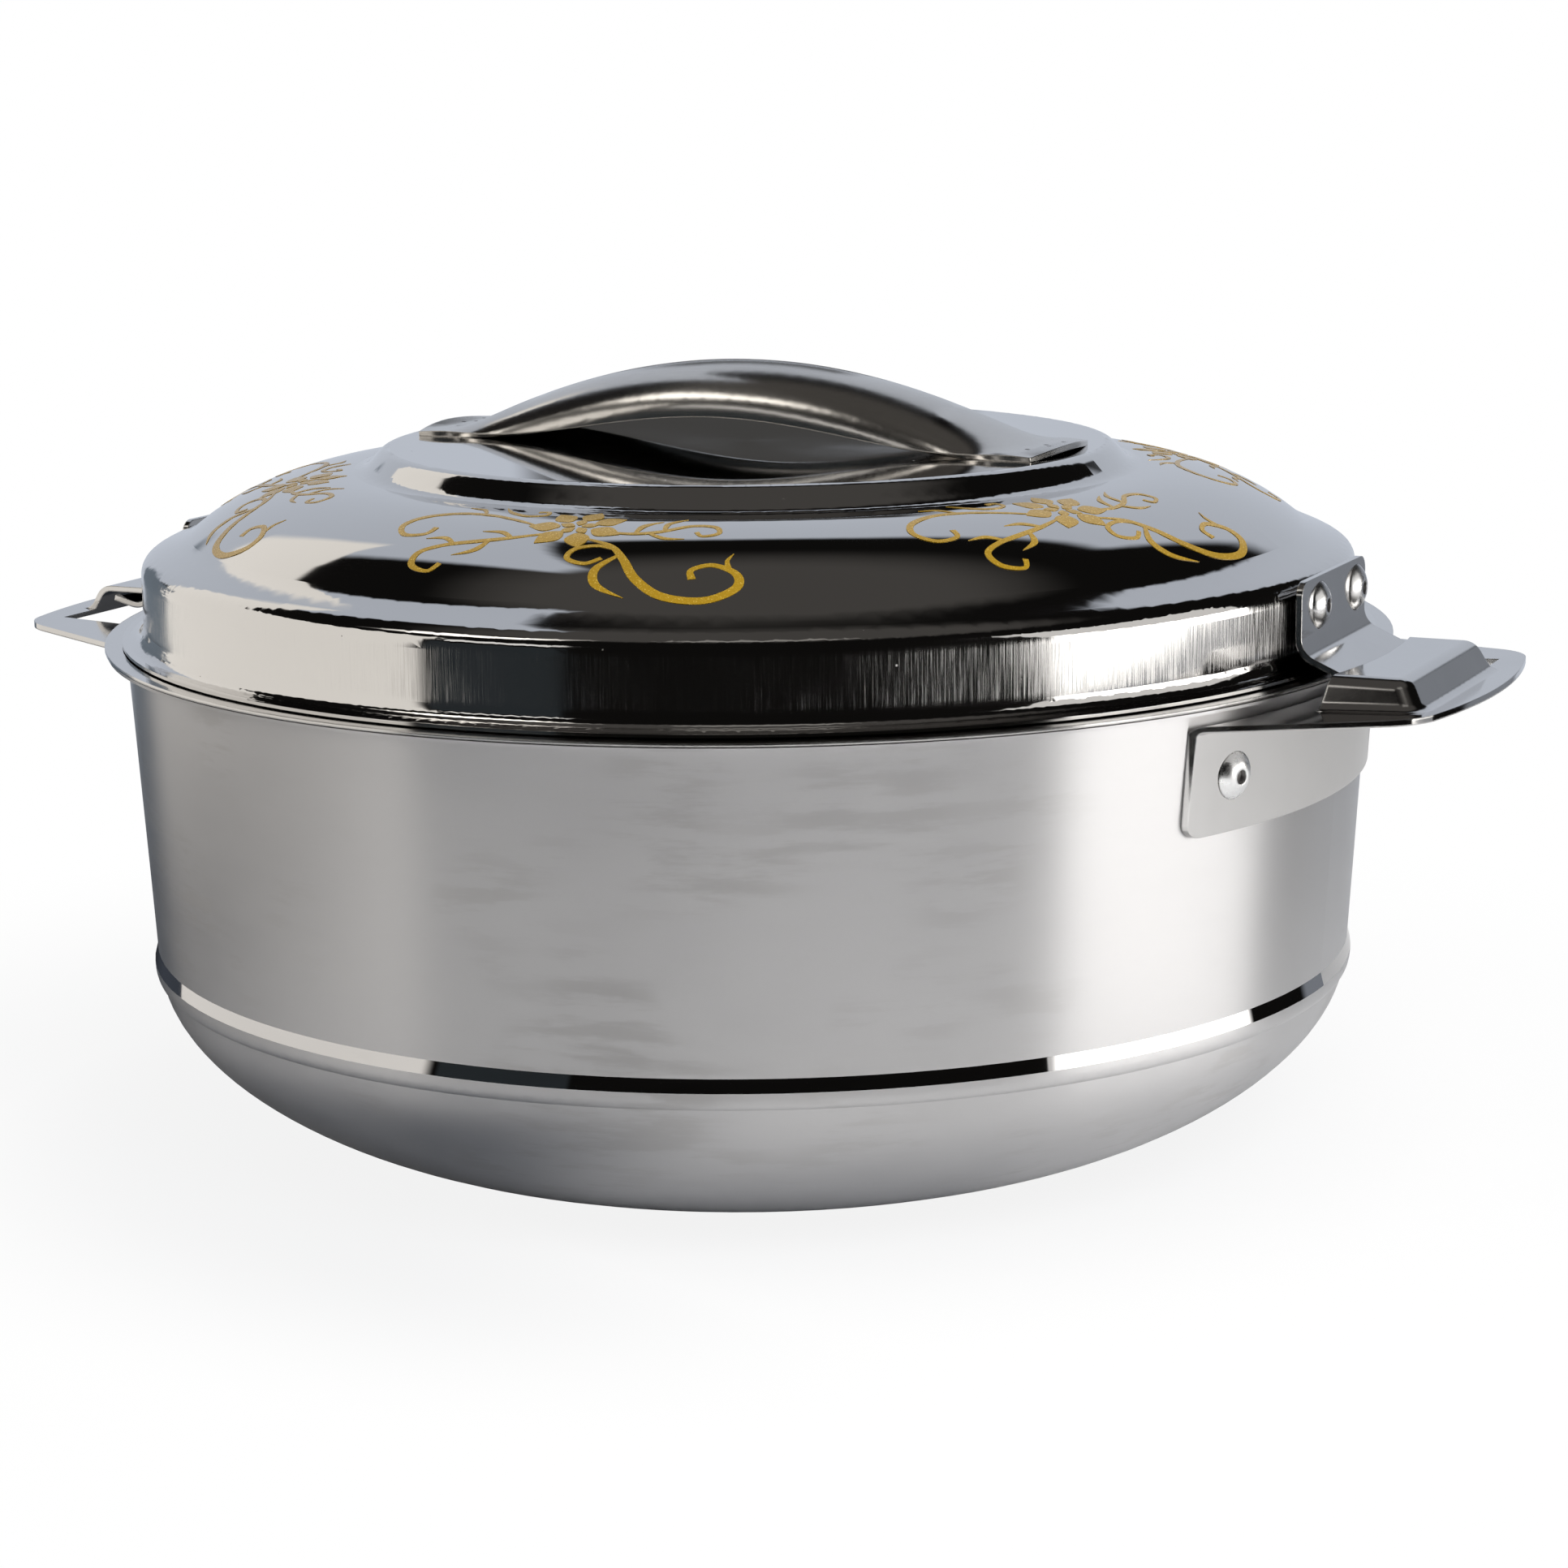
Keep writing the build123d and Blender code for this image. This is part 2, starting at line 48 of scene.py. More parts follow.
edge_rounding = 0.4 * mm
scratch_depth = 0.02 * mm

# Dome profile from its top down, in shares of the lid wall's radius and of the lid's height
dome_shares = ((0.651, 0.881), (0.753, 0.873), (0.845, 0.765), (0.92, 0.56))

# Spot welds on each strap end, in millimetres across the strap and outwards from the end's middle
weld_places = ((-6.5, -1.2), (-0.5, 1.0), (2.0, -0.6), (8.0, 0.8))

# Arc of the lid wall over which the rub marks grow, measured from the right handle and negative to the front
rub_arc = (-150 * mm, -80 * mm)

# How far brushed metal draws reflections out in one direction
brushed_anisotropy = 0.9

# Photograph: image width and focal length in pixels, and the camera's place round the brim's centre
image_width_px = 1932
focal_px = 4694.3
sensor_width_mm = 36.0
camera_distance = 0.78
camera_nearest = 0.01
camera_elevation = math.radians(9.336)
camera_azimuth = math.radians(25.5)
aim_pitch = math.radians(2.337)
aim_yaw = math.radians(0.497)
aim_roll = math.radians(-0.608)


# Shader helpers
def add(tree, kind, inputs=None, **settings):
    """Add a shader node, with its settings, and with each input set or linked."""
    made = tree.nodes.new(kind)
    for key, value in settings.items():
        setattr(made, key, value)
    for key, value in (inputs or {}).items():
        if isinstance(value, bpy.types.NodeSocket):
            tree.links.new(value, made.inputs[key])
        else:
            made.inputs[key].default_value = value
    return made


def maths(tree, operation, first, second=0.0):
    """One number worked out from two."""
    return add(tree, "ShaderNodeMath", {0: first, 1: second}, operation=operation).outputs[0]


def ramp(tree, value, low, high, start=0.0, end=1.0):
    """A value that goes smoothly from start to end while the input goes from low to high."""
    inputs = {"Value": value, "From Min": low, "From Max": high, "To Min": start, "To Max": end}
    return add(tree, "ShaderNodeMapRange", inputs, interpolation_type="SMOOTHSTEP").outputs[0]


def band(tree, value, low, high, soft):
    """1 between two limits and 0 outside them."""
    rise = ramp(tree, value, low - soft, low + soft)
    fall = ramp(tree, value, high - soft, high + soft, 1.0, 0.0)
    return maths(tree, "MULTIPLY", rise, fall)


def noise(tree, vector, scale, detail=3.0, roughness=0.5):
    """Cloudy noise between 0 and 1, with its scale per metre."""
    inputs = {"Vector": vector, "Scale": scale, "Detail": detail, "Roughness": roughness}
    return add(tree, "ShaderNodeTexNoise", inputs).outputs["Fac"]


def mix_colour(tree, factor, first, second):
    """A colour between two others."""
    made = add(tree, "ShaderNodeMix", data_type="RGBA")
    values = {made.inputs[0]: factor, made.inputs[6]: first, made.inputs[7]: second}
    for place, value in values.items():
        if isinstance(value, bpy.types.NodeSocket):
            tree.links.new(value, place)
        else:
            place.default_value = value
    return made.outputs[2]


def bumped(tree, height, strength, depth, normal=None):
    """The surface's normal, roughened by a height."""
    inputs = {"Strength": strength, "Distance": depth, "Height": height}
    if normal is not None:
        inputs["Normal"] = normal
    return add(tree, "ShaderNodeBump", inputs).outputs[0]


def eased_edges(tree, samples):
    """The surface's normal, rounded over at sharp edges."""
    return add(tree, "ShaderNodeBevel", {"Radius": edge_rounding}, samples=samples).outputs[0]


def tangent_round(tree, axis):
    """The direction round an axis, for brushed metal."""
    return add(tree, "ShaderNodeTangent", direction_type="RADIAL", axis=axis).outputs[0]


def dot(tree, place, direction):
    """How far a place lies along a direction."""
    inputs = {0: place, 1: direction}
    return add(tree, "ShaderNodeVectorMath", inputs, operation="DOT_PRODUCT").outputs["Value"]


def length(tree, vector):
    """How long a vector is."""
    return add(tree, "ShaderNodeVectorMath", {0: vector}, operation="LENGTH").outputs["Value"]


def object_place(tree):
    """A place on the piece, in metres."""
    return add(tree, "ShaderNodeTexCoord").outputs["Object"]


def round_coordinates(tree):
    """A place on the piece, its height, and its arc length round the pot's axis."""
    place = object_place(tree)
    parts = add(tree, "ShaderNodeSeparateXYZ", {0: place})
    angle = maths(tree, "ARCTAN2", parts.outputs[1], parts.outputs[0])
    arc = maths(tree, "MULTIPLY", angle, lid_wall_radius)
    return place, parts.outputs[2], arc


def stretched(tree, arc, height, across, along):
    """Texture coordinates stretched by different amounts round the pot and up it."""
    x = maths(tree, "MULTIPLY", arc, across)
    y = maths(tree, "MULTIPLY", height, along)
    return add(tree, "ShaderNodeCombineXYZ", {0: x, 1: y}).outputs[0]


def specks(tree, place, scale, size):
    """Scattered dust: 1 on small dots about the given size, and 0 between them."""
    cells = add(tree, "ShaderNodeTexVoronoi", {"Vector": place, "Scale": scale})
    draw = add(tree, "ShaderNodeSeparateColor", {0: cells.outputs["Color"]}).outputs[0]
    chosen = ramp(tree, draw, 0.55, 0.65)
    spot = ramp(tree, cells.outputs["Distance"], 0.5 * size * scale, size * scale, 1.0, 0.0)
    return maths(tree, "MULTIPLY", spot, chosen)


def new_material(name):
    """An empty node material, with its tree and its output node."""
    material = bpy.data.materials.new(name)
    material.use_nodes = True
    material.node_tree.nodes.clear()
    output = add(material.node_tree, "ShaderNodeOutputMaterial")
    return material, material.node_tree, output


def principled(tree, output, inputs):
    """Give a material a principled shader with these inputs."""
    shader = add(tree, "ShaderNodeBsdfPrincipled", inputs)
    tree.links.new(shader.outputs[0], output.inputs[0])


# Materials
def mirror_lid():
    """Polished lid: a near mirror with fine upright rub marks on its wall, dust and faint smears."""
    lines_per_metre = 3600.0
    patches_per_metre = 38.0
    smears_per_metre = 18.0
    dust_per_metre = 130.0
    dust_size = 0.24 * mm
    wall_softness = 1.0 * mm
    upright_stretch = 0.015
    rub_roughness = 0.38
    dust_roughness = 0.5
    material, tree, output = new_material("mirror_lid")
    place, height, arc = round_coordinates(tree)
    wall = band(tree, height, lid_wall_low, lid_wall_high, wall_softness)
    lines = noise(tree, stretched(tree, arc, height, 1.0, upright_stretch), lines_per_metre, 3.0, 0.7)
    patches = noise(tree, stretched(tree, arc, height, 1.0, 0.5), patches_per_metre, 4.0, 0.6)
    patchy = ramp(tree, patches, 0.3, 0.6, 0.6, 1.0)
    growing = ramp(tree, arc, *rub_arc, 0.4, 0.95)
    rubbed = maths(tree, "MULTIPLY", maths(tree, "MULTIPLY", patchy, growing), wall)
    streaks = maths(tree, "MULTIPLY", ramp(tree, lines, 0.33, 0.72), rubbed)
    smears = noise(tree, place, smears_per_metre, 4.0)
    dust = specks(tree, place, dust_per_metre, dust_size)
    gloss = ramp(tree, smears, 0.45, 0.75, 0.03, 0.07)
    worn = maths(tree, "ADD", gloss, maths(tree, "MULTIPLY", streaks, rub_roughness))
    roughness = maths(tree, "ADD", worn, maths(tree, "MULTIPLY", dust, dust_roughness))
    steel = mix_colour(tree, smears, (0.60, 0.59, 0.58, 1), (0.66, 0.65, 0.64, 1))
    colour = mix_colour(tree, dust, steel, (0.9, 0.88, 0.84, 1))
    relief = maths(tree, "MULTIPLY", lines, rubbed)
    principled(tree, output, {
        "Base Color": colour, "Metallic": 1.0, "Roughness": roughness, "Anisotropic": brushed_anisotropy,
        "Tangent": tangent_round(tree, "Z"), "Normal": bumped(tree, relief, 0.2, scratch_depth),
    })
    return material


def satin_shell():
    """Body: brushed round the pot, with a polished facet above the bead and faint handling marks."""
    lines_per_metre = 5200.0
    marks_per_metre = 60.0
    wipes_per_metre = 260.0
    patches_per_metre = 22.0
    facet_softness = 0.08 * mm
    facet_roughness = 0.03
    wipe_roughness = 0.03
    wipe_tint = 0.5
    quarter_turn = 0.25
    material, tree, output = new_material("satin_shell")
    place, height, arc = round_coordinates(tree)
    facet = band(tree, height, facet_low, facet_high, facet_softness)
    satin = maths(tree, "SUBTRACT", 1.0, facet)
    lines = noise(tree, stretched(tree, arc, height, 0.03, 1.0), lines_per_metre, 3.0, 0.6)
    marks = noise(tree, stretched(tree, arc, height, 0.35, 1.0), marks_per_metre, 5.0, 0.6)
    wiped = noise(tree, stretched(tree, arc, height, 0.16, 1.0), wipes_per_metre, 4.0, 0.65)
    patches = ramp(tree, noise(tree, place, patches_per_metre, 2.0), 0.5, 0.62)
    wipe_level = maths(tree, "MULTIPLY", ramp(tree, wiped, 0.45, 0.6), patches)
    brush = ramp(tree, marks, 0.3, 0.75, 0.33, 0.37)
    rough = maths(tree, "ADD", brush, maths(tree, "MULTIPLY", wipe_level, wipe_roughness))
    roughness = maths(tree, "ADD", maths(tree, "MULTIPLY", rough, satin), facet_roughness)
    brushed = mix_colour(tree, marks, (0.56, 0.555, 0.56, 1), (0.62, 0.615, 0.62, 1))
    tint = maths(tree, "MULTIPLY", wipe_level, wipe_tint)
    colour = mix_colour(tree, tint, brushed, (0.50, 0.49, 0.485, 1))
    relief = maths(tree, "MULTIPLY", lines, satin)
    principled(tree, output, {
        "Base Color": colour, "Metallic": 1.0, "Roughness": roughness, "Anisotropic": brushed_anisotropy,
        "Anisotropic Rotation": quarter_turn, "Tangent": tangent_round(tree, "Z"),
        "Normal": bumped(tree, relief, 0.08, scratch_depth),
    })
    return material


def bright_sheet(name, colour_low, colour_high, rough_low, rough_high, scale):
    """Bare bright metal with fine scratches, uneven gloss and eased edges."""
    scratches_per_cloud = 40
    material, tree, output = new_material(name)
    place = object_place(tree)
    cloud = noise(tree, place, scale, 5.0, 0.6)
    fine = noise(tree, place, scale * scratches_per_cloud, 2.0)
    roughness = ramp(tree, cloud, 0.3, 0.7, rough_low, rough_high)
    colour = mix_colour(tree, cloud, colour_low, colour_high)
    normal = bumped(tree, fine, 0.06, scratch_depth, eased_edges(tree, 4))
    principled(tree, output, {
        "Base Color": colour, "Metallic": 1.0, "Roughness": roughness, "Normal": normal,
    })
    return material


def weld_marks(tree, place):
    """1 on the small spot-weld pits of the strap's two flat ends, and 0 elsewhere."""
    parts = add(tree, "ShaderNodeSeparateXYZ", {0: place})
    reach = maths(tree, "ABSOLUTE", parts.outputs[0])
    marks = 0.0
    for across, along in weld_places:
        out = maths(tree, "SUBTRACT", reach, strap_foot_reach + along * mm)
        side = maths(tree, "SUBTRACT", parts.outputs[1], across * mm)
        offset = add(tree, "ShaderNodeCombineXYZ", {0: out, 1: side}).outputs[0]
        pit = ramp(tree, length(tree, offset), 0.4 * weld_radius, weld_radius, 1.0, 0.0)
        marks = maths(tree, "MAXIMUM", pit, marks)
    return marks


def brushed_strap():
    """Lid strap: steel brushed along its length, with eased edges and weld marks on its flat ends."""
    lines_per_metre = 2600.0
    clouds_per_metre = 30.0
    lengthwise_stretch = 0.015
    weld_roughness = 0.3
    material, tree, output = new_material("brushed_strap")
    place = object_place(tree)
    stretch = {"Vector": place, "Scale": (lengthwise_stretch, 1.0, 1.0)}
    drawn_out = add(tree, "ShaderNodeMapping", stretch).outputs[0]
    lines = noise(tree, drawn_out, lines_per_metre, 3.0, 0.6)
    cloud = noise(tree, place, clouds_per_metre, 4.0, 0.6)
    pits = weld_marks(tree, place)
    brush = ramp(tree, cloud, 0.3, 0.7, 0.13, 0.16)
    roughness = maths(tree, "ADD", brush, maths(tree, "MULTIPLY", pits, weld_roughness))
    steel = mix_colour(tree, lines, (0.58, 0.56, 0.53, 1), (0.68, 0.66, 0.63, 1))
    colour = mix_colour(tree, pits, steel, (0.12, 0.11, 0.11, 1))
    normal = bumped(tree, lines, 0.06, scratch_depth, eased_edges(tree, 6))
    principled(tree, output, {
        "Base Color": colour, "Metallic": 1.0, "Roughness": roughness, "Anisotropic": brushed_anisotropy,
        "Tangent": tangent_round(tree, "X"), "Normal": normal,
    })
    return material


def gold_print():
    """Printed gold: glittering ink under a clear gloss coat."""
    glitter_per_metre = 3200.0
    clouds_per_metre = 90.0
    glitter_depth = 0.03 * mm
    material, tree, output = new_material("gold_print")
    place = object_place(tree)
    glitter = noise(tree, place, glitter_per_metre, 2.0, 0.6)
    cloud = noise(tree, place, clouds_per_metre, 3.0)
    ink = mix_colour(tree, cloud, (0.37, 0.215, 0.01, 1), (0.45, 0.27, 0.015, 1))
    colour = mix_colour(tree, ramp(tree, glitter, 0.55, 0.72), ink, (0.75, 0.52, 0.1, 1))
    roughness = ramp(tree, glitter, 0.3, 0.7, 0.5, 0.3)
    principled(tree, output, {
        "Base Color": colour, "Metallic": 0.3, "Roughness": roughness,
        "Normal": bumped(tree, glitter, 0.3, glitter_depth),
        "Coat Weight": 0.5, "Coat Roughness": 0.2,
    })
    return material


def plain_solid(name, colour_low, colour_high, roughness, scale):
    """A matt or plastic piece with mottled colour and grain."""
    grain_depth = 0.1 * mm
    material, tree, output = new_material(name)
    cells = noise(tree, object_place(tree), scale, 4.0)
    colour = mix_colour(tree, cells, colour_low, colour_high)
    principled(tree, output, {
        "Base Color": colour, "Roughness": roughness, "Normal": bumped(tree, cells, 0.3, grain_depth),
    })
    return material


def dress(material, *names):
    """Give CAD nodes a material."""
    for name in names:
        slots = nodes[name].data.materials
        slots.clear()
        slots.append(material)


def dress_all():
    """Every CAD node gets the material of its real piece."""
    sides = ("right", "left")
    riveted = [f"{side}_{piece}" for side in sides for piece in ("handle", "bracket")]
    dress(mirror_lid(), "lid_shell")
    dress(satin_shell(), "outer_shell")
    dress(brushed_strap(), "lid_handle")
    sheet = bright_sheet("handle_sheet", (0.56, 0.55, 0.54, 1), (0.66, 0.65, 0.64, 1), 0.05, 0.11, 60.0)
    dress(sheet, *[f"{side}_handle" for side in sides], *[f"{side}_lock_bracket" for side in sides])
    rivet = bright_sheet("rivet_metal", (0.7, 0.7, 0.7, 1), (0.8, 0.8, 0.8, 1), 0.22, 0.34, 300.0)
    dress(rivet, *[f"{piece}_rivets" for piece in riveted])
    stem = bright_sheet("rivet_stem", (0.16, 0.15, 0.15, 1), (0.3, 0.29, 0.28, 1), 0.35, 0.6, 600.0)
    dress(stem, *[f"{piece}_mandrels" for piece in riveted])
    lining = bright_sheet("bowl_steel", (0.58, 0.57, 0.56, 1), (0.65, 0.64, 0.63, 1), 0.08, 0.2, 25.0)
    dress(lining, "inner_bowl", "lid_liner")
    foam = plain_solid("foam", (0.8, 0.7, 0.42, 1), (0.86, 0.77, 0.52, 1), 0.9, 900.0)
    dress(foam, "body_insulation", "lid_insulation")
    plug = plain_solid("plug_plastic", (0.02, 0.02, 0.02, 1), (0.05, 0.05, 0.05, 1), 0.55, 700.0)
    dress(plug, "fill_plug")


# Ornaments on the dome, in millimetres: way along the circle, way down the slope, and stroke width
ornament_count = 6
ornament_turn = math.radians(-84.5)
ornament_drop = 10.8 * mm
ink_thickness = 0.06 * mm
dome_steps = 90
stroke_steps = 7
thinnest_stroke = 0.05
scroll_breadth_share = 0.7
scrolls = (
    ((-7.5, 0.8, 0.6), (-12.5, -1.4, 1.1), (-19.5, -3.4, 1.4), (-27, -3.2, 1.6), (-33, 0.4, 1.8),
     (-34.6, 5.0, 1.7), (-31.5, 8.4, 1.5), (-27.4, 7.4, 1.3), (-27.0, 4.6, 1.6)),
    ((-21, -9.4, 0.1), (-17.5, -6.2, 1.4), (-13, -4.6, 1.4), (-9.6, -5.8, 1.3), (-10.0, -8.2, 1.1),
     (-12.2, -7.8, 1.5)),
    ((-5, 4.2, 0.8), (-10.5, 6.6, 1.5), (-16, 8.6, 1.7), (-21, 10.6, 1.5), (-24.4, 13.6, 1.6),
     (-23.6, 17.4, 1.7), (-20, 18.6, 1.2), (-18.8, 16.2, 1.4)),
    ((6.5, 2.2, 0.8), (11, 2.8, 1.3), (16, 1.6, 1.5), (21, -1.4, 1.4), (25.4, -1.0, 1.5),
     (26.4, 2.2, 1.3), (23.6, 3.6, 1.1), (22.4, 1.8, 1.3)),
    ((4, 5.6, 0.8), (8.6, 8.0, 1.5), (11.6, 12.4, 2.0), (14.4, 18, 2.3), (18.8, 22.4, 2.4), (25, 23.4, 2.3),
     (29.6, 20.4, 2.2), (29.6, 16.6, 1.9), (26, 14, 1.6), (22.8, 15.4, 1.4), (23, 18, 1.8)),
    ((10, 9.4, 0.9), (6.4, 8.0, 1.3), (2.8, 9.4, 1.4), (2.4, 12.6, 1.4), (5.6, 14, 1.3), (8, 12.2, 1.2)),
)
leaves = (
    ((-10, 6.4, 1.0), (-13, 4.4, 1.5), (-16.8, 4.6, 0.1)),
    ((-13.6, 7.8, 1.0), (-14.6, 11.4, 1.7), (-18, 13.6, 0.1)),
    ((-19.6, 10, 1.0), (-22.4, 8.2, 1.4), (-26, 9.0, 0.1)),
    ((-22, -4.0, 0.8), (-24.6, -6.6, 1.3), (-28.6, -7.0, 0.1)),
    ((11.6, 2.6, 1.0), (12.4, -1.2, 1.7), (15.6, -3.8, 0.1)),
    ((16.6, 1.4, 1.0), (16.8, -2.6, 1.5), (20, -5.4, 0.1)),
    ((14, 2.4, 1.0), (17, 4.6, 1.3), (20.6, 4.8, 0.1)),
    ((10.4, 11.4, 1.0), (7.8, 15.6, 1.9), (8.8, 20, 1.9), (13.4, 23, 0.1)),
    ((28.6, 15.6, 1.4), (28.2, 12.8, 1.0), (29.2, 10.4, 0.1)),
)

# Rings of petals: how many, the first one's turn in radians, and reach and width along each, in millimetres
outer_petals = {
    "count": 7, "turn": 0.35, "stations": ((3.4, 0.8), (4.6, 3.3), (6.0, 4.4), (7.6, 3.0), (9.4, 0.1)),
}
inner_petals = {
    "count": 5, "turn": 0.9, "stations": ((0.7, 0.3), (1.5, 1.5), (2.2, 2.1), (2.9, 1.6), (3.9, 0.1)),
}


def dome_samples():
    """Points down the dome's profile: way along it, radius and height."""
    points = [(lid_wall_radius * across, lid_base + lid_height * up) for across, up in dome_shares]
    samples = []
    for step in range(dome_steps + 1):
        t = step / dome_steps
        weights = ((1 - t) ** 3, 3 * t * (1 - t) ** 2, 3 * t**2 * (1 - t), t**3)
        place = tuple(sum(weight * point[axis] for weight, point in zip(weights, points)) for axis in (0, 1))
        way = samples[-1][0] + math.dist(samples[-1][1:], place) if samples else 0.0
        samples.append((way, *place))
    return samples


def on_dome(samples, along, down, lift):
    """A point a little above the dome, from the way along the circle and down the slope to it."""
    way = ornament_drop + down
    step = next((index for index, sample in enumerate(samples) if sample[0] > way), dome_steps)
    near, far = samples[step - 1], samples[step]
    share = (way - near[0]) / (far[0] - near[0])
    outward = (far[1] - near[1]) / (far[0] - near[0])
    downward = (near[2] - far[2]) / (far[0] - near[0])
    radius = near[1] + share * (far[1] - near[1]) + lift * downward
    height = near[2] + share * (far[2] - near[2]) + lift * outward
    middle_radius = next(sample[1] for sample in samples if sample[0] > ornament_drop)
    angle = along / middle_radius
    return Vector((radius * math.cos(angle), radius * math.sin(angle), height))


def smooth_run(points):
    """A smooth curve through points, each a tuple of numbers."""
    run = []
    count = len(points)
    for index in range(count - 1):
        group = [points[min(max(index + shift, 0), count - 1)] for shift in (-1, 0, 1, 2)]
        for step in range(stroke_steps + (index == count - 2)):
            t = step / stroke_steps
            weights = (
                (-t + 2 * t**2 - t**3) / 2, (2 - 5 * t**2 + 3 * t**3) / 2,
                (t + 4 * t**2 - 3 * t**3) / 2, (t**3 - t**2) / 2,
            )
            run.append(tuple(sum(w * p[axis] for w, p in zip(weights, group)) for axis in range(3)))
    return run


def stroke(shape, samples, points, turn, breadth_share=1.0):
    """Add one tapering stroke of ink to a mesh, as a thin closed solid on the dome."""
    section = ((-1, 0), (-1, ink_thickness), (0, ink_thickness), (1, ink_thickness), (1, 0), (0, 0))
    run = smooth_run(points)
    rows = []
    for index, (along, down, width) in enumerate(run):
        before, after = run[max(index - 1, 0)], run[min(index + 1, len(run) - 1)]
        heading = Vector((after[0] - before[0], after[1] - before[1])).normalized()
        half = 0.5 * breadth_share * max(width, thinnest_stroke)
        row = []
        for side, lift in section:
            place = (along - side * half * heading.y, down + side * half * heading.x)
            point = on_dome(samples, place[0] * mm, place[1] * mm, lift)
            row.append(shape.verts.new(turn @ point))
        rows.append(row)
    for near, far in zip(rows, rows[1:]):
        for index in range(len(near)):
            following = (index + 1) % len(near)
            shape.faces.new((near[index], near[following], far[following], far[index]))
    shape.faces.new(rows[0][::-1])
    shape.faces.new(rows[-1])


def petals(shape, samples, ring, turn):
    """Add a ring of pointed petals round the flower's middle."""
    for index in range(ring["count"]):
        angle = ring["turn"] + 2 * math.pi * index / ring["count"]
        across, down = math.cos(angle), math.sin(angle)
        points = [(reach * across, reach * down, width) for reach, width in ring["stations"]]
        stroke(shape, samples, points, turn)


def ornaments():
    """Gold flowers with scrolls, evenly spaced round the dome."""
    samples = dome_samples()
    ink = gold_print()
    for index in range(ornament_count):
        turn = Matrix.Rotation(ornament_turn + 2 * math.pi * index / ornament_count, 3, "Z")
        shape = bmesh.new()
        for points in scrolls + leaves:
            stroke(shape, samples, points, turn, scroll_breadth_share)
        petals(shape, samples, outer_petals, turn)
        petals(shape, samples, inner_petals, turn)
        bmesh.ops.recalc_face_normals(shape, faces=shape.faces)
        mesh = bpy.data.meshes.new(f"gold_ornament_{index + 1}")
        shape.to_mesh(mesh)
        shape.free()
        mesh.materials.append(ink)
        piece = bpy.data.objects.new(mesh.name, mesh)
        bpy.context.scene.collection.objects.link(piece)
        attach(piece, "lid")


# Studio, in metres
studio_centre = Vector((0, 0, brim_height))
stand_radius = 1.5
studio_radius = 1.6
backdrop_radius = 1.7
room_radius = 2.4
table_radius = 0.5
table_drop = 0.2 * mm
white_reach = 0.3

# Colours of the light
cream = (1.0, 0.96, 0.90, 1)
warm_white = (1.0, 0.98, 0.95, 1)
cool_white = (0.95, 0.97, 1.0, 1)
blue_grey = (0.83, 0.89, 1.0, 1)
pale_blue = (0.75, 0.9, 1.0, 1)
deep_blue = (0.7, 0.84, 1.0, 1)
room_glow = (1.0, 0.94, 0.88, 1)

# Panels: name, columns of azimuth with lowest and highest elevation, colour, strength, soft edge, radius
light_panels = (
    ("left_softbox", ((-152, 26, 41), (-138, 12, 39), (-134, -20, 38), (-122, -20, 33), (-58, -20, 31)),
     cream, 1.0, 0.03, studio_radius),
    ("left_strip", ((-58, 20, 27), (-32, 20, 27)), warm_white, 1.0, 0.1, studio_radius),
    ("left_grey", ((-58, -20, 16), (-32, -20, 16)), pale_blue, 0.035, 0.05, studio_radius),
    ("right_softbox", ((46, 28, 32), (58, -10.2, 32), (100, -7.4, 32)),
     warm_white, 0.85, 0.04, backdrop_radius),
    ("right_lamp", ((53, -10.4, 9), (101, -7.6, 9)), warm_white, 4.5, 0.06, studio_radius),
    ("right_apron", ((57, -20, -9.7), (100, -20, -6.9)), cool_white, 0.4, 0.04, studio_radius),
    ("strip_light", ((-95, 41, 57), (-66, 42, 58), (-42, 49, 68)), cream, 2.8, 0.35, studio_radius),
    ("front_strip", ((-32, 62, 76), (40, 62, 76)), cream, 0.3, 0.2, studio_radius),
    ("side_backdrop", ((118, -20, 24), (144, -20, 24)), blue_grey, 0.3, 0.12, studio_radius),
    ("backdrop", ((142, -20, 47), (195, -20, 47), (210, -20, 66), (219, -20, 66)),
     blue_grey, 0.68, 0.05, backdrop_radius),
    ("left_back", ((204, -20, 14), (228, -20, 14)), deep_blue, 0.22, 0.12, studio_radius),
    ("dark_stand", ((174.5, 1, 9.5), (185.5, 1, 9.5)), warm_white, 0.06, 0.1, stand_radius),
    ("dark_bar", ((173, 14, 26), (188, 14, 26)), warm_white, 0.04, 0.15, stand_radius),
)


def studio_direction(azimuth, elevation):
    """Direction from the pot, with azimuth 0 towards the camera and positive to its right, in degrees."""
    turn = math.radians(azimuth) + camera_azimuth
    rise = math.radians(elevation)
    return Vector((math.sin(turn) * math.cos(rise), -math.cos(turn) * math.cos(rise), math.sin(rise)))


def glowing(name, colour, strength, edge):
    """Even light over a panel, with soft edges."""
    material, tree, output = new_material(name)
    parts = add(tree, "ShaderNodeSeparateXYZ", {0: add(tree, "ShaderNodeUVMap").outputs[0]})
    cover = 1.0
    for axis in (0, 1):
        cover = maths(tree, "MULTIPLY", ramp(tree, parts.outputs[axis], 0.0, edge), cover)
        cover = maths(tree, "MULTIPLY", ramp(tree, parts.outputs[axis], 1.0 - edge, 1.0, 1.0, 0.0), cover)
    clear = add(tree, "ShaderNodeBsdfTransparent")
    light = add(tree, "ShaderNodeEmission", {"Color": colour, "Strength": strength})
    mixed = add(tree, "ShaderNodeMixShader", {0: cover, 1: clear.outputs[0], 2: light.outputs[0]})
    tree.links.new(mixed.outputs[0], output.inputs[0])
    return material


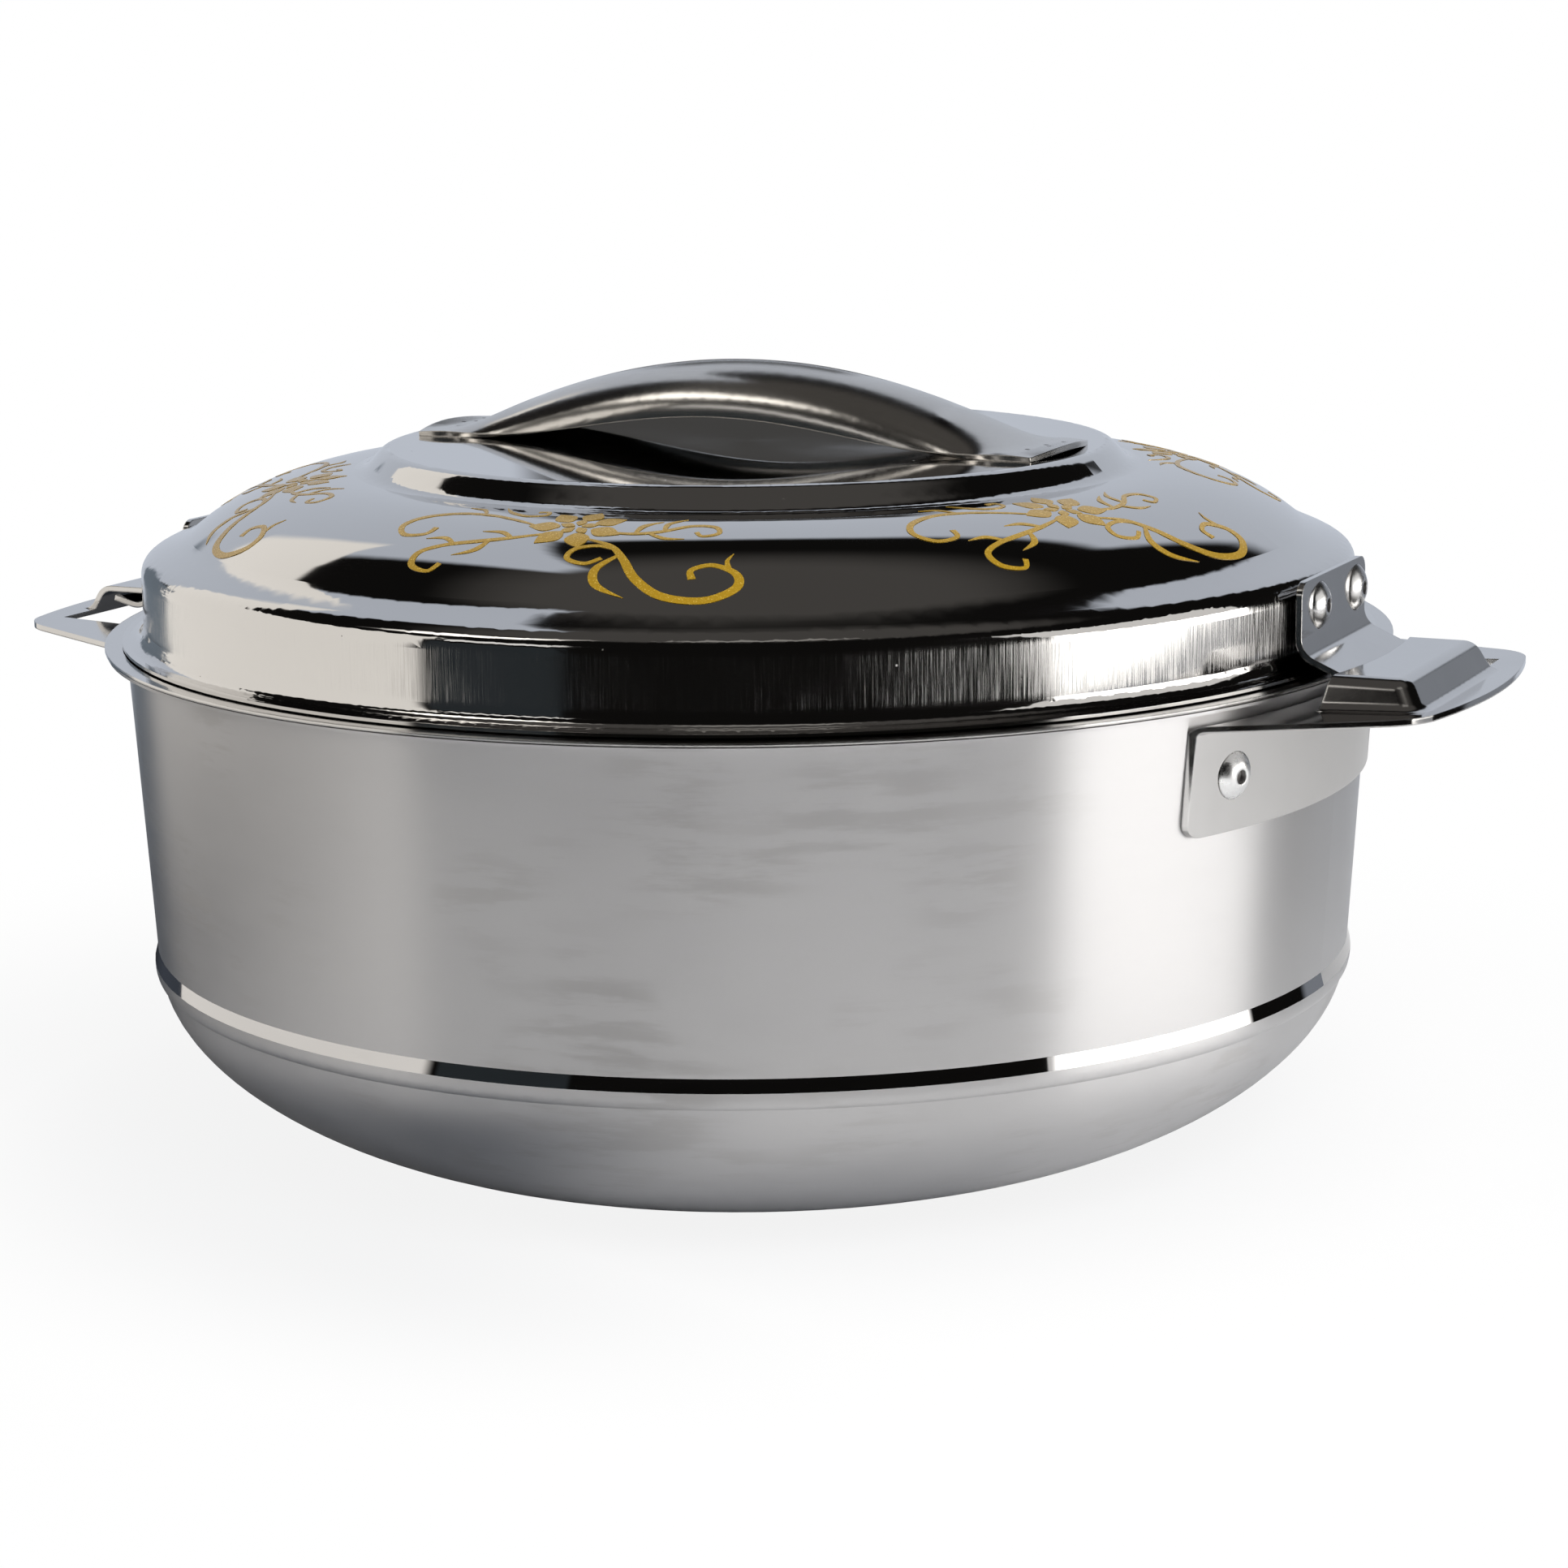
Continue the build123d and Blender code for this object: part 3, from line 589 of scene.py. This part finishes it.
def panel(name, columns, colour, strength, edge, radius):
    """A light panel seen from the pot: columns of azimuth with the lowest and highest elevation there."""
    rows = 12
    columns_between = 6
    points = []
    places = []
    spans = len(columns) - 1
    for step in range(spans * columns_between + 1):
        index = min(step // columns_between, spans - 1)
        share = step / columns_between - index
        azimuth, low, high = Vector(columns[index]).lerp(Vector(columns[index + 1]), share)
        for row in range(rows + 1):
            up = row / rows
            points.append(studio_centre + radius * studio_direction(azimuth, low + up * (high - low)))
            places.append(((azimuth - columns[0][0]) / (columns[-1][0] - columns[0][0]), up))
    faces = []
    for step in range(spans * columns_between):
        for row in range(rows):
            start = step * (rows + 1) + row
            faces.append((start, start + rows + 1, start + rows + 2, start + 1))
    mesh = bpy.data.meshes.new(name)
    mesh.from_pydata(points, [], faces)
    layer = mesh.uv_layers.new(name="places")
    for loop in mesh.loops:
        layer.data[loop.index].uv = places[loop.vertex_index]
    mesh.materials.append(glowing(name, colour, strength, edge))
    piece = bpy.data.objects.new(name, mesh)
    bpy.context.scene.collection.objects.link(piece)
    piece.visible_camera = False


def dark_room():
    """The unlit studio round the panels, nearly black. Only the camera looks through it."""
    wall_strength = 0.006
    ceiling_strength = 0.075
    bpy.ops.mesh.primitive_uv_sphere_add(
        segments=48, ring_count=24, radius=room_radius, location=studio_centre,
    )
    room = bpy.context.object
    room.name = "dark_room"
    room.visible_camera = False
    material, tree, output = new_material("dark_room")
    height = add(tree, "ShaderNodeSeparateXYZ", {0: object_place(tree)}).outputs[2]
    strength = ramp(tree, height, 0.8 * room_radius, 0.93 * room_radius, wall_strength, ceiling_strength)
    light = add(tree, "ShaderNodeEmission", {"Color": room_glow, "Strength": strength})
    tree.links.new(light.outputs[0], output.inputs[0])
    room.data.materials.append(material)


def painted_table_shade(tree, place, reach):
    """Painted shadow on the table's colour: dark behind the pot on the left, round the foot, and left of the
    foot.
    """
    behind_azimuth = -130
    behind_start = 0.03
    behind_end = 0.2
    foot_darkness = 0.9
    foot_shade_reach = 2.3 * foot_radius
    left_azimuth = -85
    left_start = -0.3 * foot_radius
    left_end = 1.2 * foot_radius
    left_fade_start = 1.8 * foot_radius
    left_fade_end = 2.8 * foot_radius
    behind = ramp(tree, dot(tree, place, studio_direction(behind_azimuth, 0)), behind_start, behind_end)
    near_foot = ramp(tree, reach, foot_radius, foot_shade_reach, foot_darkness, 0.0)
    leftwards = dot(tree, place, studio_direction(left_azimuth, 0))
    left_side = ramp(tree, leftwards, left_start, left_end)
    close = ramp(tree, reach, left_fade_start, left_fade_end, 1.0, 0.0)
    near_left = maths(tree, "MULTIPLY", left_side, close)
    return maths(tree, "MAXIMUM", behind, maths(tree, "MAXIMUM", near_foot, near_left))


def white_table():
    """A round table that takes the pot's shadow, with painted shadow on its colour as well. It is white to
    the camera, but not in reflections.
    """
    grain_per_metre = 60.0
    white_at_foot = 0.88
    bpy.ops.mesh.primitive_circle_add(
        vertices=128, radius=table_radius, fill_type="NGON", location=(0, 0, -table_drop),
    )
    table = bpy.context.object
    table.name = "table"
    material, tree, output = new_material("table")
    place = object_place(tree)
    reach = length(tree, place)
    grain = noise(tree, place, grain_per_metre, 4.0)
    pale = mix_colour(tree, grain, (0.86, 0.86, 0.86, 1), (0.9, 0.9, 0.9, 1))
    # The table's colour goes to a dark painted shadow colour behind, round and left of the foot
    colour = mix_colour(tree, painted_table_shade(tree, place, reach), pale, (0.08, 0.092, 0.115, 1))
    matt = add(tree, "ShaderNodeBsdfDiffuse", {"Color": colour})
    white = add(tree, "ShaderNodeEmission", {"Strength": 1.0})
    seen = add(tree, "ShaderNodeLightPath").outputs["Is Camera Ray"]
    fade = maths(tree, "MULTIPLY", ramp(tree, reach, foot_radius, white_reach, white_at_foot, 1.0), seen)
    mixed = add(tree, "ShaderNodeMixShader", {0: fade, 1: matt.outputs[0], 2: white.outputs[0]})
    tree.links.new(mixed.outputs[0], output.inputs[0])
    table.data.materials.append(material)


def white_world():
    """White to the camera. Other rays meet the dark room first, so metal doesn't mirror this world."""
    grey_strength = 0.6
    white_strength = 1.0
    world = bpy.data.worlds.new("studio")
    bpy.context.scene.world = world
    world.use_nodes = True
    tree = world.node_tree
    tree.nodes.clear()
    path = add(tree, "ShaderNodeLightPath")
    seen = maths(tree, "MAXIMUM", path.outputs["Is Camera Ray"], path.outputs["Is Glossy Ray"])
    seen = maths(tree, "MAXIMUM", seen, path.outputs["Is Transmission Ray"])
    strength = ramp(tree, seen, 0.0, 1.0, grey_strength, white_strength)
    light = add(tree, "ShaderNodeBackground", {"Color": (1, 1, 1, 1), "Strength": strength})
    output = add(tree, "ShaderNodeOutputWorld")
    tree.links.new(light.outputs[0], output.inputs[0])


def table_lamp():
    """A soft lamp above the front of the table, which polished metal doesn't show."""
    lamp_width = 0.5
    lamp_watts = 12.6
    lamp_distance = 1.0
    lamp_azimuth = 20
    lamp_elevation = 34
    lamp = bpy.data.lights.new("top_lamp", "AREA")
    lamp.shape = "DISK"
    lamp.size = lamp_width
    lamp.energy = lamp_watts
    piece = bpy.data.objects.new("top_lamp", lamp)
    piece.location = studio_centre + lamp_distance * studio_direction(lamp_azimuth, lamp_elevation)
    piece.rotation_euler = (piece.location - studio_centre).to_track_quat("Z", "Y").to_euler()
    piece.visible_glossy = False
    bpy.context.scene.collection.objects.link(piece)


def studio():
    """The room, the table, the panels and the lamp round the pot."""
    white_world()
    dark_room()
    white_table()
    for details in light_panels:
        panel(*details)
    table_lamp()


def camera():
    """The photograph's camera, aimed by its measured pitch, yaw and roll."""
    down = camera_elevation + aim_pitch
    level = math.cos(down)
    forward = Vector((math.sin(aim_yaw) * level, math.cos(aim_yaw) * level, -math.sin(down)))
    right = forward.cross(Vector((0, 0, 1))).normalized()
    up = right.cross(forward)
    rolled_right = right * math.cos(aim_roll) + up * math.sin(aim_roll)
    rolled_up = up * math.cos(aim_roll) - right * math.sin(aim_roll)
    place = Vector((0, -math.cos(camera_elevation), math.sin(camera_elevation))) * camera_distance
    axes = Matrix((rolled_right, rolled_up, -forward)).transposed().to_4x4()
    lens = bpy.data.cameras.new("camera")
    lens.sensor_width = sensor_width_mm
    lens.lens = sensor_width_mm * focal_px / image_width_px
    lens.clip_start = camera_nearest
    view = bpy.data.objects.new("camera", lens)
    turn = Matrix.Rotation(camera_azimuth, 4, "Z")
    view.matrix_world = Matrix.Translation(studio_centre) @ turn @ Matrix.Translation(place) @ axes
    bpy.context.scene.collection.objects.link(view)
    bpy.context.scene.camera = view


dress_all()
ornaments()
studio()
camera()
bpy.context.scene.view_settings.view_transform = "Standard"
